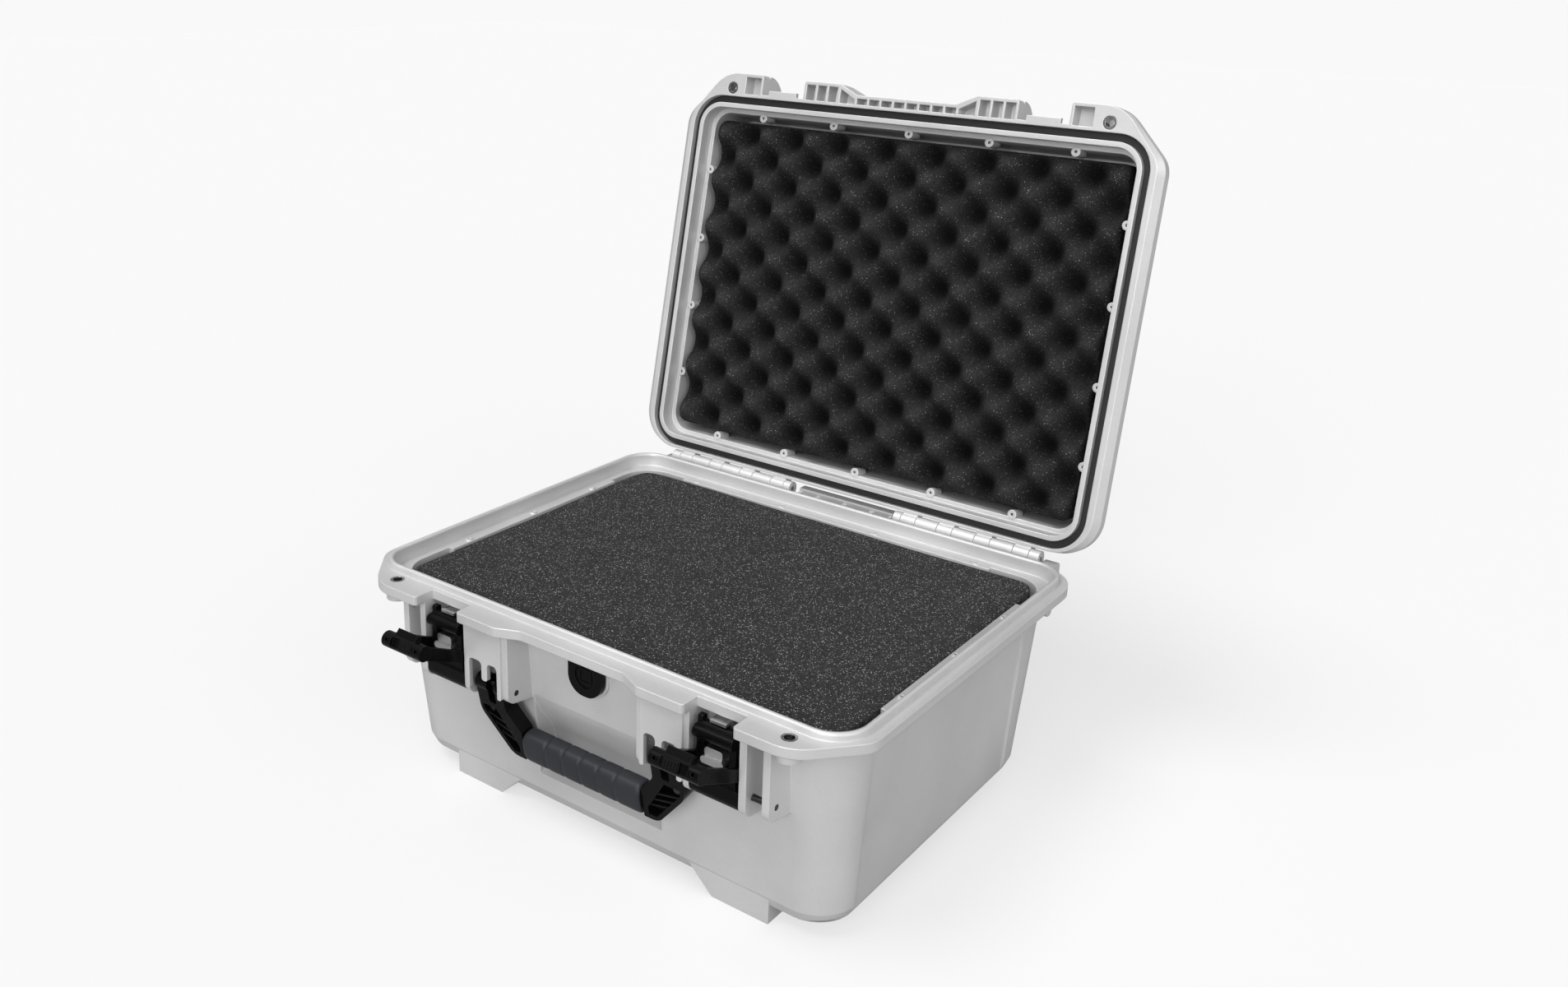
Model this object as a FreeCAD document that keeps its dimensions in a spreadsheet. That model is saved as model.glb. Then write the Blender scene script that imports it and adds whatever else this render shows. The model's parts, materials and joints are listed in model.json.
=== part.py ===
import FreeCAD, Part
import math
import os
import Sketcher

# Hard case with a hinged lid, two draw latches and a folding front handle.
# Lengths are millimetres. X runs along the hinge, Y from the front to the hinge, Z up.
# Everything is drawn about the middle of the sealing tongue. At the end it all moves forward, so that
# the origin is on the floor under the middle of the whole case with its lid open.

doc = FreeCAD.newDocument("hard_case")
Vector = FreeCAD.Vector


class Size:
    """A length together with the sheet formula that gives it."""

    def __init__(self, value, formula):
        self.value = value
        self.formula = formula

    def __add__(self, other):
        return Size(self.value + number(other), f"({self.formula} + {text(other)})")

    def __sub__(self, other):
        return Size(self.value - number(other), f"({self.formula} - {text(other)})")

    def __mul__(self, other):
        return Size(self.value * number(other), f"({self.formula} * {text(other)})")

    def __truediv__(self, other):
        return Size(self.value / number(other), f"({self.formula} / {text(other)})")

    def __radd__(self, other):
        return Size(number(other) + self.value, f"({text(other)} + {self.formula})")

    def __rsub__(self, other):
        return Size(number(other) - self.value, f"({text(other)} - {self.formula})")

    def __rmul__(self, other):
        return Size(number(other) * self.value, f"({text(other)} * {self.formula})")

    def __neg__(self):
        return Size(-self.value, f"(-{self.formula})")


def cosine(angle):
    return Size(math.cos(math.radians(angle.value)), f"cos({angle.formula})")


def number(size):
    return size.value if isinstance(size, Size) else float(size)


def text(size):
    return size.formula if isinstance(size, Size) else repr(float(size))


sheet = doc.addObject("Spreadsheet::Sheet", "Sizes")
sheet_rows = 0


def driving(name, value):
    """Writes one driving size in the sheet and returns it."""
    global sheet_rows
    sheet_rows += 1
    sheet.set(f"A{sheet_rows}", name)
    sheet.set(f"B{sheet_rows}", str(value))
    sheet.setAlias(f"B{sheet_rows}", name)
    return Size(float(value), f"Sizes.{name}")


# Tongue and rim of the base
crest = driving("crest_height", 190)
tongue_rise = driving("tongue_rise", 6)
tongue_long = driving("tongue_half_long", 235)
tongue_wide = driving("tongue_half_wide", 176)
tongue_thick = driving("tongue_thickness", 5)
tongue_corner = driving("tongue_corner", 28)
ledge_drop = driving("ledge_drop", 13)
rim_long = driving("rim_half_long", 246)
rim_thick = driving("rim_thickness", 8)
rim_back = driving("rim_back", 182)
rim_corner = driving("rim_back_corner", 36)

# Front edge of rim and lid: middle, handle brackets, latch notch and corners
middle_reach = driving("middle_reach", 191)
bracket_reach = driving("bracket_reach", 200)
corner_reach = driving("corner_reach", 202)
middle_half = driving("middle_half", 52)
bracket_start = driving("bracket_start", 72)
chamfer_start = driving("chamfer_start", 207)
chamfer_end = driving("chamfer_end", 158)

# Walls and floor of the base
wall = driving("wall", 4)
wall_long = driving("wall_top_half_long", 228)
wall_wide = driving("wall_top_half_wide", 168.5)
wall_draft_long = driving("wall_draft_long", 10)
wall_draft_wide = driving("wall_draft_wide", 11.5)
wall_corner = driving("wall_corner", 34)
floor_edge = driving("floor_edge_round", 14)
foot_height = driving("foot_height", 11)

# Latches and handle at the front
pocket_middle = driving("latch_pocket_middle", 136.75)
pocket_half = driving("latch_pocket_half", 22.25)
notch_reach = driving("latch_notch_reach", 183)
rib_reach = driving("rib_reach", 192)
pin_reach = driving("pin_reach", 182.5)
pin_drop = driving("pin_drop", 68)
pin_radius = driving("pin_radius", 2.5)
bail_reach = driving("bail_pivot_reach", 184)
bail_drop = driving("bail_pivot_drop", 53)
bail_length = driving("bail_length", 53.2)
bail_open = driving("bail_open_angle", 64.4)
cross_reach = driving("cross_bar_reach", 190.5)
cross_drop = driving("cross_bar_drop", 27)
bar_radius = driving("bar_radius", 6.5)
grip_drop = driving("grip_drop", 48)
handle_tilt = driving("handle_tilt", 11)
scoop_depth = driving("scoop_depth", 28)
scoop_half = driving("scoop_half", 64)
prong_in = driving("handle_prong_in", 76)
prong_out = driving("handle_prong_out", 105)
grip_half = driving("grip_half", 62)
lever_pin_radius = driving("lever_pin_radius", 2)
valve_bore = driving("valve_bore", 6)
eye_across = driving("padlock_eye_across", 196.5)
eye_reach = driving("padlock_eye_reach", 187.5)
eye_radius = driving("padlock_eye_radius", 4)

# Lid and hinge
lid_long = driving("lid_half_long", 250)
lid_height = driving("lid_height", 60)
lid_flange = driving("lid_flange_height", 14)
lid_wall = driving("lid_wall", 4)
hinge_reach = driving("hinge_reach", 190.5)
hinge_drop = driving("hinge_drop", 4)
knuckle_radius = driving("knuckle_radius", 7)
hinge_pin_radius = driving("hinge_pin_radius", 2.5)
lid_angle = driving("lid_open_angle", 101.7)

# How far the middle of the open case lies behind the middle of the tongue
frame_shift = driving("frame_shift", 40.5)

# Fits and clearances
gap = driving("moving_gap", 0.3)
running = driving("running_clearance", 0.05)
foam_gap = driving("foam_gap", 0.6)
gap_side = driving("handle_side_gap", 1)

doc.recompute()

parting = crest - tongue_rise
ledge = crest - ledge_drop
rim_under = parting - rim_thick
tongue_in = tongue_thick / 2
pin_height = crest - pin_drop
prong_middle = (prong_in + prong_out) / 2 - 1.5
bail_height = crest - bail_drop
hinge_height = crest - hinge_drop
neck = rim_under - 10
valve_height = crest - 34
valve_face = wall_wide + 1
valve_spot = wall + 0.5
lid_low = parting + gap
lid_top = lid_low + lid_height
flange_top = lid_low + lid_flange
lid_ledge = crest + 10
groove_half = tongue_in + 1
groove_top = crest + 4
cross_height = crest - cross_drop
lip_top = parting + 4.5


def bind(thing, place, size):
    """Ties one property of a document object to the sheet."""
    thing.setExpression(place, text(size))


def new_body(label):
    body = doc.addObject("PartDesign::Body", label)
    body.Label = label
    body.AllowCompound = True
    return body


def fused(label, bodies):
    whole = doc.addObject("Part::MultiFuse", label)
    whole.Shapes = bodies
    return whole


def less(label, whole, cuts):
    """One piece: a body less every shape in the cutting body."""
    piece = doc.addObject("Part::Cut", label)
    piece.Base = whole
    piece.Tool = cuts
    piece.Label = label
    return piece


def new_sketch(body, plane, offset):
    sketch = body.newObject("Sketcher::SketchObject", "Outline")
    support = next(item for item in body.Origin.OriginFeatures if item.Role == plane)
    sketch.AttachmentSupport = [(support, "")]
    sketch.MapMode = "FlatFace"
    bind(sketch, "AttachmentOffset.Base.z", offset)
    return sketch


def draw(sketch, outlines):
    """Draws closed outlines. A corner is x, y and, where it is rounded, a radius.

    A single triple in place of a list of corners is a circle: x, y, radius.
    """
    shapes, rules, tied = [], [], []

    def rule(*values):
        rules.append(Sketcher.Constraint(*values))

    def tie(kind, first, second, size):
        place = (-1, 1, first, second) if second else (first,)
        rules.append(Sketcher.Constraint(kind, *place, number(size)))
        if isinstance(size, Size):
            tied.append((len(rules) - 1, size))

    def place_point(shape, end, corner):
        tie("DistanceX", shape, end, corner[0])
        tie("DistanceY", shape, end, corner[1])

    for outline in outlines:
        if isinstance(outline, tuple):
            middle = Vector(number(outline[0]), number(outline[1]), 0)
            shapes.append((Part.Circle(middle, Vector(0, 0, 1), number(outline[2])), False))
            place_point(len(shapes) - 1, 3, outline)
            tie("Radius", len(shapes) - 1, 0, outline[2])
            continue
        count = len(outline)
        points = [Vector(number(corner[0]), number(corner[1]), 0) for corner in outline]
        arrive, leave = list(points), list(points)
        for i, corner in enumerate(outline):
            if len(corner) > 2:
                before = (points[i - 1] - points[i]).normalize()
                after = (points[(i + 1) % count] - points[i]).normalize()
                reach = number(corner[2]) / math.tan(before.getAngle(after) / 2)
                arrive[i] = points[i] + before * reach
                leave[i] = points[i] + after * reach
        first = len(shapes)
        for i in range(count):
            shapes.append((Part.LineSegment(leave[i], arrive[(i + 1) % count]), False))
        for i, corner in enumerate(outline):
            incoming, outgoing = first + (i - 1) % count, first + i
            if len(corner) == 2:
                rule("Coincident", incoming, 2, outgoing, 1)
                place_point(outgoing, 1, corner)
                continue
            before = (points[i - 1] - points[i]).normalize()
            after = (points[(i + 1) % count] - points[i]).normalize()
            half = before.getAngle(after) / 2
            middle = points[i] + (before + after).normalize() * (number(corner[2]) / math.sin(half))
            left_turn = before.cross(after).z < 0
            turn = [arrive[i] - middle, leave[i] - middle]
            angles = [math.atan2(arm.y, arm.x) for arm in (turn if left_turn else turn[::-1])]
            circle = Part.Circle(middle, Vector(0, 0, 1), number(corner[2]))
            shapes.append((Part.ArcOfCircle(circle, *angles), False))
            arc = len(shapes) - 1
            shapes.append((Part.Point(points[i]), True))
            spot = len(shapes) - 1
            place_point(spot, 1, corner)
            rule("PointOnObject", spot, 1, incoming)
            rule("PointOnObject", spot, 1, outgoing)
            rule("Tangent", incoming, 2, arc, 1 if left_turn else 2)
            rule("Tangent", arc, 2 if left_turn else 1, outgoing, 1)
            tie("Radius", arc, 0, corner[2])
    for shape, construction in shapes:
        sketch.addGeometry(shape, construction)
    sketch.addConstraint(rules)
    for index, size in tied:
        bind(sketch, f"Constraints[{index}]", size)


PLANES = {"X": "YZ_Plane", "Y": "XZ_Plane", "Z": "XY_Plane"}


def prism(body, axis, start, end, outlines, cut=False):
    """Pads or pockets outlines from one coordinate to a higher one along an axis.

    Outlines across X are written y, z; across Y they are x, z; across Z they are x, y.
    """
    offset = -end if axis == "Y" else start
    sketch = new_sketch(body, PLANES[axis], offset)
    draw(sketch, outlines)
    feature = body.newObject("PartDesign::Pocket" if cut else "PartDesign::Pad", "Cut" if cut else "Pad")
    feature.Profile = sketch
    feature.Reversed = cut
    bind(feature, "Length", end - start)


def loft(body, sections, cut=False):
    """Joins outlines at different heights: a list of height and outline."""
    sketches = []
    for height, outline in sections:
        sketch = new_sketch(body, "XY_Plane", height)
        draw(sketch, [outline])
        sketches.append(sketch)
    feature = body.newObject("PartDesign::SubtractiveLoft" if cut else "PartDesign::AdditiveLoft", "Loft")
    feature.Profile = sketches[0]
    feature.Sections = sketches[1:]
    feature.Ruled = True


def soften(body, radius, wanted):
    """Rounds every edge that the given test picks."""
    doc.recompute()
    base = body.Tip
    names = [f"Edge{i + 1}" for i, edge in enumerate(base.Shape.Edges) if wanted(edge)]
    feature = body.newObject("PartDesign::Fillet", "Soft")
    feature.Base = (base, names)
    bind(feature, "Radius", radius)


def box(x0, x1, y0, y1, *round_corner):
    """A rectangle from its limits, with one radius for all corners if given."""
    return [(x, y, *round_corner) for x, y in ((x0, y0), (x1, y0), (x1, y1), (x0, y1))]


def frame_outline(half_long, half_wide, radius):
    return box(-half_long, half_long, -half_wide, half_wide, radius)


def mirrored(half):
    """Completes the right half of an outline, front to back, with its left half."""
    return half + [(-corner[0], *corner[1:]) for corner in reversed(half)]


def sided(side, x0, x1):
    """The x limits on the right side, or mirrored to the left, lower one first."""
    return (x0, x1) if side > 0 else (-x1, -x0)


def level(edge, height):
    limits = edge.BoundBox
    return abs(limits.ZMin - number(height)) < 0.01 and abs(limits.ZMax - number(height)) < 0.01


def wall_share(height):
    """How far down the drafted wall a height lies: 0 at the top, 1 at the raised floor."""
    return (neck - height) / (neck - foot_height)


def wall_x(height):
    return wall_long - wall_draft_long * wall_share(height)


def wall_y(height):
    return wall_wide - wall_draft_wide * wall_share(height)


pocket_in = pocket_middle - pocket_half
pocket_out = pocket_middle + pocket_half


def front_outline(half_long, notch_in, notch_out, back_corner):
    """Plan of the rim or the lid flange with its stepped front edge."""
    return mirrored([
        (middle_half, -middle_reach, 8),
        (bracket_start, -bracket_reach, 8),
        (notch_in, -bracket_reach, 3),
        (notch_in, -notch_reach),
        (notch_out, -notch_reach),
        (notch_out, -corner_reach, 3),
        (chamfer_start, -corner_reach, 36),
        (half_long, -chamfer_end, 24),
        (half_long, rim_back, back_corner),
    ])


# Ribs under the front rim: where each stands, its thickness and how far down it goes
RIBS = [
    (pocket_in - 48.5, pocket_in - 42.5, 75),
    (pocket_in - 5, pocket_in, 80),
    (pocket_out, pocket_out + 6, 81),
    (pocket_out + 20, pocket_out + 26, 77),
]
# Knuckles of the hinge: the lid's are narrow, the base's fill the spaces between them
KNUCKLE_START = 66
KNUCKLE_PITCH = 37.7
KNUCKLE_WIDTH = 15
KNUCKLES = 4
# Waves of the egg-crate foam
foam_pitch_long = 52
foam_pitch_wide = 48
HINGE_IN = KNUCKLE_START - 8
HINGE_OUT = KNUCKLE_START + (KNUCKLES - 1) * KNUCKLE_PITCH + KNUCKLE_WIDTH + 10


def base_rim(body):
    """Drafted tub, sloped neck, rim plate and the tongue that meets the gasket."""
    top = frame_outline(wall_long, wall_wide, wall_corner)
    steps = []
    for rise, inset in ((0, 0.8), (0.25, 0.25), (0.9, 0)):
        height = foot_height + floor_edge * rise
        half_long, half_wide = wall_x(height) - floor_edge * inset, wall_y(height) - floor_edge * inset
        steps.append((height, frame_outline(half_long, half_wide, wall_corner - floor_edge * inset)))
    loft(body, steps + [(neck, top)])
    wide = frame_outline(tongue_long + 5, tongue_wide + 4, tongue_corner + 8)
    loft(body, [(neck, top), (rim_under, wide)])
    prism(body, "Z", rim_under, parting, [front_outline(rim_long, pocket_in, pocket_out, rim_corner)])
    tongue = frame_outline(tongue_long + tongue_in, tongue_wide + tongue_in, tongue_corner + tongue_in)
    prism(body, "Z", parting, crest, [tongue])
    soften(body, tongue_in - 0.1, lambda edge: level(edge, crest))


def base_cavity(body):
    """Hollow of the tub, the ledge inside the tongue and its screw bosses."""
    top = frame_outline(wall_long - wall, wall_wide - wall, wall_corner - wall)
    low_long, low_wide = wall_long - wall_draft_long - wall, wall_wide - wall_draft_wide - wall
    low = frame_outline(low_long, low_wide, wall_corner - 8)
    loft(body, [(foot_height + wall, low), (neck, top)], cut=True)
    prism(body, "Z", neck, ledge + 1, [top], cut=True)
    mouth = frame_outline(tongue_long - tongue_in, tongue_wide - tongue_in, tongue_corner - tongue_in)
    prism(body, "Z", ledge, crest + 1, [mouth], cut=True)
    soften(body, tongue_in - 0.2, lambda edge: level(edge, crest))


def base_ledge(body, cuts):
    """Wider ledge between the corners, with screw bosses for a panel frame."""
    inner_long, inner_wide = wall_long - wall, wall_wide - wall
    spots = []
    for side in (1, -1):
        prism(body, "Z", ledge - 14, ledge, [box(*sided(side, inner_long - 5, inner_long + 1), -105, 112)])
        prism(body, "Z", ledge - 14, ledge, [box(-170, 170, *sided(side, inner_wide - 4.5, inner_wide + 1))])
        spots += [(side * (inner_long - 1), y) for y in (-82, 0, 82)]
        spots += [(x, side * (inner_wide - 1)) for x in (-155, -52, 52, 155)]
    prism(body, "Z", ledge - 1, ledge + 1.2, [(x, y, 3.2) for x, y in spots])
    prism(cuts, "Z", ledge - 9, ledge + 2, [(x, y, 1.3) for x, y in spots])


def base_front(body, cuts):
    """Ribs that carry the latch and handle pins, bracket fascias and padlock bosses."""
    for side in (1, -1):
        for start, end, drop in RIBS:
            low = crest - drop
            outline = [
                (2 - wall_y(rim_under), rim_under + 1),
                (-rib_reach, rim_under + 1),
                (-rib_reach, low, 9),
                (2 - wall_y(low), low - 5),
            ]
            prism(body, "X", *sided(side, start, end), [outline])
        left, right = RIBS[0][1] - 1, RIBS[1][0] + 1
        slot_top, tab_low, low = crest - 44, crest - 60, crest - 72
        edge = [
            (left, rim_under + 1), (left, low, 1.5), (prong_in - gap_side, low, 1.5),
            (prong_in - gap_side, slot_top, 4), (prong_middle - 3, slot_top, 4),
            (prong_middle - 3, tab_low, 2), (prong_middle + 3, tab_low, 2),
            (prong_middle + 3, slot_top, 4), (prong_out + gap_side, slot_top, 4),
            (prong_out + gap_side, low, 1.5), (right, low, 1.5), (right, rim_under + 1),
        ]
        fascia = [(side * corner[0], *corner[1:]) for corner in edge]
        prism(body, "Y", -rib_reach - 3, 1 - rib_reach, [fascia])
        eye = (side * eye_across, -eye_reach)
        prism(body, "Z", rim_under - 8, rim_under + 1, [(*eye, eye_radius + 5.5)])
        prism(cuts, "Z", rim_under - 9, parting + 1, [(*eye, eye_radius + 2)])
        pins = sided(side, RIBS[0][0] - 1, RIBS[3][1] + 1)
        prism(cuts, "X", *pins, [(-pin_reach, pin_height, pin_radius)])
        tie_hole = (7 - rib_reach, crest - 25, 2.2)
        prism(cuts, "X", *sided(side, RIBS[3][0] - 1, RIBS[3][1] + 1), [tie_hole])


def base_scoop(body, cuts):
    """Hollow in the front wall that leaves room for fingers behind the grip."""
    grip = pin_height - grip_drop
    floor = wall_wide - scoop_depth
    top, low = grip + 32, grip - 40
    skin = [
        (1.5 - wall_y(top + 4), top + 4), (wall - floor, grip + 4, 30), (wall - floor, grip - 26, 18),
        (1.5 - wall_y(low - 5), low - 5),
    ]
    prism(body, "X", -scoop_half - wall, scoop_half + wall, [skin])
    hollow = [
        (-wall_wide - 20, top + 26), (-wall_y(top + 26) - 0.2, top + 26), (-wall_y(top) - 0.2, top, 45),
        (-floor, grip - 2, 28), (-floor, grip - 24, 14), (-wall_wide - 20, low - 14),
    ]
    prism(cuts, "X", -scoop_half, scoop_half, [hollow])


def base_valve_seat(body, cuts):
    """Boss with a rounded foot under the rim, drilled for the purge valve."""
    outline = [
        (-19, rim_under + 1), (-19, valve_height - 19, 17.5),
        (19, valve_height - 19, 17.5), (19, rim_under + 1),
    ]
    prism(body, "Y", -valve_face, 3 - wall_wide, [outline])
    prism(cuts, "Y", valve_spot - wall_wide, 20 - wall_wide, [(0, valve_height, 11)])
    prism(cuts, "Y", -valve_face - 1, 10 - wall_wide, [(0, valve_height, valve_bore)])
    prism(cuts, "Y", -valve_face - 12, -valve_face, [box(-17.5, 17.5, valve_height - 18, rim_under)])


def base_outside(body, cuts):
    """Shallow panels in the end walls and four feet."""
    low, high = foot_height - 1, neck - 6
    for side in (1, -1):
        panel = [
            (side * (wall_x(low) - 2), low),
            (side * (wall_x(high) - 2), high),
            (side * (wall_x(high) + 3), high + 5),
            (side * (wall_long + 10), high + 5),
            (side * (wall_long + 10), low),
        ]
        prism(cuts, "Y", -126, 116, [panel])
        foot, face = (
            [(side * 164, 0), (side * 164, top), (side * slant, top), (side * 112, 0)]
            for top, slant in ((foot_height + 2, 98), (foot_height + 15, 84))
        )
        front = wall_y(foot_height)
        for end in (1, -1):
            prism(body, "Y", *sided(end, front - 34, front - 1), [foot])
            prism(body, "Y", *sided(end, front - wall + 1, front), [face])


def knuckle_lanes(side, margin):
    """X limits of the lid knuckles on one side, widened by a margin."""
    starts = [KNUCKLE_START + i * KNUCKLE_PITCH for i in range(KNUCKLES)]
    return [sided(side, start - margin, start + KNUCKLE_WIDTH + margin) for start in starts]


def base_hinge(body, cuts):
    """Hinge barrels behind the rim, cut away where the lid's knuckles run."""
    slots = []
    web = [
        (rim_back - 5, rim_under),
        (hinge_reach, hinge_height - knuckle_radius),
        (hinge_reach + 1, hinge_height),
        (rim_back - 1, parting),
        (rim_back - 5, parting),
    ]
    for side in (1, -1):
        span = sided(side, HINGE_IN, HINGE_OUT)
        prism(body, "X", *span, [web])
        prism(body, "X", *span, [(hinge_reach, hinge_height, knuckle_radius)])
        prism(cuts, "X", span[0] - 1, span[1] + 1, [(hinge_reach, hinge_height, hinge_pin_radius)])
        slots += [box(*lane, rim_back + gap, hinge_reach + 20) for lane in knuckle_lanes(side, 0.4)]
    prism(cuts, "Z", rim_under - 20, crest + 20, slots)


def build_base():
    tub, fittings, cuts = new_body("base_tub"), new_body("base_fittings"), new_body("base_cuts")
    base_rim(tub)
    base_cavity(tub)
    for feature in (base_ledge, base_front, base_scoop, base_valve_seat, base_outside, base_hinge):
        feature(fittings, cuts)
    return [less("base_shell", fused("base_whole", [tub, fittings]), cuts)]


def lid_cover(body):
    """Flange with its bevelled edge, and the dome of the lid, drawn shut."""
    notch = (pocket_in - 2.5, pocket_out + 2)
    low = front_outline(lid_long - 6, *notch, rim_corner)
    wide = front_outline(lid_long, *notch, rim_corner)
    loft(body, [(lid_low, low), (lid_low + 5, wide)])
    prism(body, "Z", lid_low + 5, flange_top, [wide])
    around = frame_outline(tongue_long + 3, tongue_wide + 2, tongue_corner + 12)
    upper = frame_outline(tongue_long - 4, tongue_wide - 5, tongue_corner + 8)
    top = frame_outline(tongue_long - 11, tongue_wide - 12, tongue_corner + 2)
    loft(body, [(flange_top - 3, around), (lid_top - 6, upper), (lid_top, top)])


def lid_hollow(body):
    """Space for the foam, the ledge round it and the groove for the gasket."""
    mouth = frame_outline(tongue_long - 8, tongue_wide - 8, tongue_corner - 8)
    prism(body, "Z", lid_low - 1, lid_ledge, [mouth], cut=True)
    inner = frame_outline(tongue_long - 12, tongue_wide - 12, tongue_corner - 10)
    upper = frame_outline(tongue_long - 16, tongue_wide - 16, tongue_corner - 12)
    loft(body, [(lid_ledge, inner), (lid_top - lid_wall, upper)], cut=True)
    prism(body, "Z", lid_low - 1, groove_top, [groove_outer(), groove_inner()], cut=True)


def groove_outer():
    return frame_outline(tongue_long + groove_half, tongue_wide + groove_half, tongue_corner + groove_half)


def groove_inner():
    return frame_outline(tongue_long - groove_half, tongue_wide - groove_half, tongue_corner - groove_half)


def brow_outline(reach):
    """Quarter-round brow seen from the side: y, z."""
    rise = reach - tongue_wide - 1
    low = flange_top - 2
    back = 6 - tongue_wide
    return [(back, low), (-reach, low), (-reach, low + rise, rise - 0.5), (back, low + rise)]


def lid_brow(body, cuts):
    """Rounded brow over the front edge, hollow from below with thin gussets."""
    notch_in, notch_out = pocket_in - 2.5, pocket_out + 2
    prism(body, "X", -middle_half, middle_half, [brow_outline(middle_reach)])
    cells = []
    back = tongue_wide + groove_half + 3

    def row(x0, x1, count, reach):
        pitch = (x1 - x0 + 2.5) / count
        for i in range(count):
            left = x0 + pitch * i
            cells.append(box(left, left + pitch - 2.5, 3 - reach, -back))

    row(-middle_half, middle_half, 8, middle_reach)
    for side in (1, -1):
        prism(body, "X", *sided(side, bracket_start, notch_in), [brow_outline(bracket_reach)])
        prism(body, "X", *sided(side, notch_out, chamfer_start - 12), [brow_outline(corner_reach)])
        row(*sided(side, bracket_start + 2.5, notch_in - 2.5), 3, bracket_reach)
        row(*sided(side, notch_out + 2.5, eye_across - 15), 1, corner_reach)
        ends = ((middle_half - 1, -middle_reach), (bracket_start + 1, -bracket_reach))
        run = [(side * x, y) for x, y in ends]
        behind = [(side * x, 6 - tongue_wide) for x in (bracket_start + 1, middle_half - 1)]
        prism(body, "Z", flange_top - 2, flange_top + middle_reach - tongue_wide - 6, [run + behind])
        cells.append([
            (side * (middle_half + 2.5), 4 - middle_reach), (side * (bracket_start - 1), 4.5 - bracket_reach),
            (side * (bracket_start - 1), -back), (side * (middle_half + 2.5), -back),
        ])
        eye = (side * eye_across, -eye_reach)
        prism(cuts, "Z", lid_low + 10, lid_top, [(*eye, eye_radius + 6)])
        prism(cuts, "Z", lid_low - 1, lid_low + 11, [(*eye, eye_radius + 2)])
    prism(cuts, "Z", lid_low - 1, lid_low + 15, cells)


def lid_strikes(body, cuts):
    """Lips in the latch notches that the noses of the latch bars hold down."""
    for side in (1, -1):
        lip = box(*sided(side, pocket_middle - 16, pocket_middle + 16), -notch_reach - 4.5, 2 - notch_reach)
        prism(body, "Z", lid_low, lip_top, [lip])


def lid_bosses(body, cuts):
    """Screw bosses along the ledge for a panel frame."""
    spots = [(x, side * (tongue_wide - 14.5)) for side in (1, -1) for x in (-165, -82.5, 0, 82.5, 165)]
    spots += [(side * (tongue_long - 13.5), y) for side in (1, -1) for y in (-105, -35, 35, 105)]
    prism(body, "Z", lid_ledge - 1, lid_ledge + 14, [(x, y, 4.2) for x, y in spots])
    prism(cuts, "Z", lid_ledge - 2, lid_ledge + 9, [(x, y, 1.3) for x, y in spots])


def lid_hinge(body, cuts):
    """Narrow knuckles that run between the barrels of the base."""
    web = [
        (rim_back - 2, lid_low),
        (hinge_reach, lid_low),
        (hinge_reach, hinge_height + knuckle_radius),
        (rim_back - 2, hinge_height + knuckle_radius + 3),
    ]
    slots = []
    for side in (1, -1):
        lanes = sorted(knuckle_lanes(side, 0))
        prism(body, "X", lanes[0][0], lanes[-1][1], [web])
        prism(body, "X", lanes[0][0], lanes[-1][1], [(hinge_reach, hinge_height, knuckle_radius)])
        bore = (hinge_reach, hinge_height, hinge_pin_radius + running)
        prism(cuts, "X", lanes[0][0] - 1, lanes[-1][1] + 1, [bore])
        for lane, following in zip(lanes, lanes[1:]):
            slots.append(box(lane[1], following[0], rim_back, hinge_reach + 20))
    prism(cuts, "Z", lid_low - 20, crest + 20, slots)


def turn(pieces, reach, height, angle):
    """Turns pieces about a line along X, to where they stand at rest."""
    spin = FreeCAD.Rotation(Vector(1, 0, 0), number(angle))
    for piece in pieces:
        piece.Placement = FreeCAD.Placement(Vector(), spin, Vector(0, number(reach), number(height)))
    return pieces


def eyelets(label, low, high):
    """Steel tubes that line a pair of padlock eyes."""
    body = new_body(label)
    rings = []
    for side in (1, -1):
        eye = (side * eye_across, -eye_reach)
        rings += [(*eye, eye_radius + 2), (*eye, eye_radius)]
    prism(body, "Z", low, high, rings)
    return body


def build_lid():
    shell, fittings, cuts = new_body("lid_cover"), new_body("lid_fittings"), new_body("lid_cuts")
    lid_cover(shell)
    lid_hollow(shell)
    for feature in (lid_brow, lid_strikes, lid_bosses, lid_hinge):
        feature(fittings, cuts)
    lid = less("lid_shell", fused("lid_whole", [shell, fittings]), cuts)
    gasket = new_body("lid_gasket")
    prism(gasket, "Z", crest + gap, groove_top, [groove_outer(), groove_inner()])
    rings = eyelets("padlock_eyelets_lid", lid_low, lid_low + 10)
    return turn([lid, gasket, rings, lid_foam()], hinge_reach, hinge_height, -lid_angle)


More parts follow.
